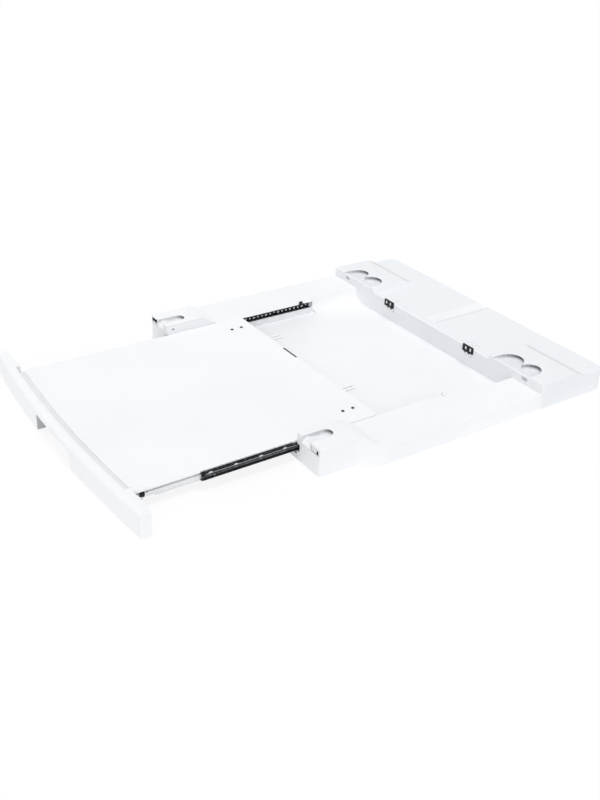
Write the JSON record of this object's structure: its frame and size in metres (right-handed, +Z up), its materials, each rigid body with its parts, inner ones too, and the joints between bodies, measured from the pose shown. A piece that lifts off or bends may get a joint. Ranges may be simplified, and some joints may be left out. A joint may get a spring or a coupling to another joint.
{
  "type": "washer dryer stacking kit",
  "caption": "Low white tray that joins a dryer on top of a washer, with foot seats on its corners and a shelf that pulls out on ball-bearing slides.",
  "frame": {"origin": "centre of the bounding box's bottom face, on the surface that the kit stands on, with the shelf pulled out", "axes": "+X to the right seen from the front, +Y from the front of the shelf to the back of the frame, +Z up"},
  "size_m": [0.6, 0.906, 0.0485],
  "materials": {
    "white_body": "white moulded plastic with a fine satin grain",
    "white_gloss": "white moulded plastic, smooth and slightly shiny",
    "black_steel": "black coated cold-rolled steel",
    "zinc_steel": "bright zinc-plated steel",
    "black_plastic": "black moulded plastic",
    "rubber": "dull black rubber"
  },
  "bodies": {
    "frame": {"base_frame": "white_body", "grip_pad_front_left": "rubber", "grip_pad_front_right": "rubber", "grip_pad_rear_left": "rubber", "grip_pad_rear_right": "rubber", "lock_clip_left": "black_plastic", "lock_clip_right": "black_plastic", "rear_catch_left": "black_plastic", "rear_catch_right": "black_plastic", "catch_screw_left": "zinc_steel", "catch_screw_right": "zinc_steel", "slide_lug_left": "black_plastic", "slide_lug_right": "black_plastic", "slide_cabinet_channel_left": "black_steel", "slide_cabinet_channel_right": "black_steel", "cabinet_screw_left_1": "black_steel", "cabinet_screw_left_2": "black_steel", "cabinet_screw_left_3": "black_steel", "cabinet_screw_right_1": "black_steel", "cabinet_screw_right_2": "black_steel", "cabinet_screw_right_3": "black_steel"},
    "shelf": {"shelf_panel": "white_body", "fascia": "white_gloss", "striker_left": "white_body", "striker_right": "white_body", "side_angle_left": "zinc_steel", "side_angle_right": "zinc_steel", "slide_shelf_rail_left": "zinc_steel", "slide_shelf_rail_right": "zinc_steel", "shelf_bumper_left": "black_plastic", "shelf_bumper_right": "black_plastic", "rail_screw_left_1": "zinc_steel", "rail_screw_left_2": "zinc_steel", "rail_screw_left_3": "zinc_steel", "rail_screw_right_1": "zinc_steel", "rail_screw_right_2": "zinc_steel", "rail_screw_right_3": "zinc_steel", "rear_shelf_screw_left_1": "zinc_steel", "rear_shelf_screw_left_2": "zinc_steel", "rear_shelf_screw_right_1": "zinc_steel", "rear_shelf_screw_right_2": "zinc_steel", "fascia_screw_1": "zinc_steel", "fascia_screw_2": "zinc_steel", "fascia_screw_3": "zinc_steel", "fascia_screw_4": "zinc_steel"},
    "middle_left": {"slide_middle_rail_left": "black_steel", "slide_middle_channel_left": "black_steel", "slide_rivet_left_1": "zinc_steel", "slide_rivet_left_2": "zinc_steel"},
    "middle_right": {"slide_middle_rail_right": "black_steel", "slide_middle_channel_right": "black_steel", "slide_rivet_right_1": "zinc_steel", "slide_rivet_right_2": "zinc_steel"},
    "outer_cage_left": {"outer_ball_cage_left": "zinc_steel"},
    "outer_cage_right": {"outer_ball_cage_right": "zinc_steel"},
    "inner_cage_left": {"inner_ball_cage_left": "zinc_steel"},
    "inner_cage_right": {"inner_ball_cage_right": "zinc_steel"}
  },
  "joints": [
    {"name": "shelf_slide", "type": "slide", "parent": "frame", "child": "shelf", "axis": [0, 1, 0], "range_m": [0, 0.276]},
    {"name": "middle_left_slide", "type": "slide", "parent": "frame", "child": "middle_left", "axis": [0, 1, 0], "range_m": [0, 0.17112]},
    {"name": "middle_right_slide", "type": "slide", "parent": "frame", "child": "middle_right", "axis": [0, 1, 0], "range_m": [0, 0.17112]},
    {"name": "outer_cage_left_slide", "type": "slide", "parent": "frame", "child": "outer_cage_left", "axis": [0, 1, 0], "range_m": [0, 0.08556]},
    {"name": "outer_cage_right_slide", "type": "slide", "parent": "frame", "child": "outer_cage_right", "axis": [0, 1, 0], "range_m": [0, 0.08556]},
    {"name": "inner_cage_left_slide", "type": "slide", "parent": "frame", "child": "inner_cage_left", "axis": [0, 1, 0], "range_m": [0, 0.22356]},
    {"name": "inner_cage_right_slide", "type": "slide", "parent": "frame", "child": "inner_cage_right", "axis": [0, 1, 0], "range_m": [0, 0.22356]}
  ],
  "couplings": [
    {"joint": "middle_left_slide", "follows": "shelf_slide", "ratio": 0.62},
    {"joint": "middle_right_slide", "follows": "shelf_slide", "ratio": 0.62},
    {"joint": "outer_cage_left_slide", "follows": "shelf_slide", "ratio": 0.31},
    {"joint": "outer_cage_right_slide", "follows": "shelf_slide", "ratio": 0.31},
    {"joint": "inner_cage_left_slide", "follows": "shelf_slide", "ratio": 0.81},
    {"joint": "inner_cage_right_slide", "follows": "shelf_slide", "ratio": 0.81}
  ]
}
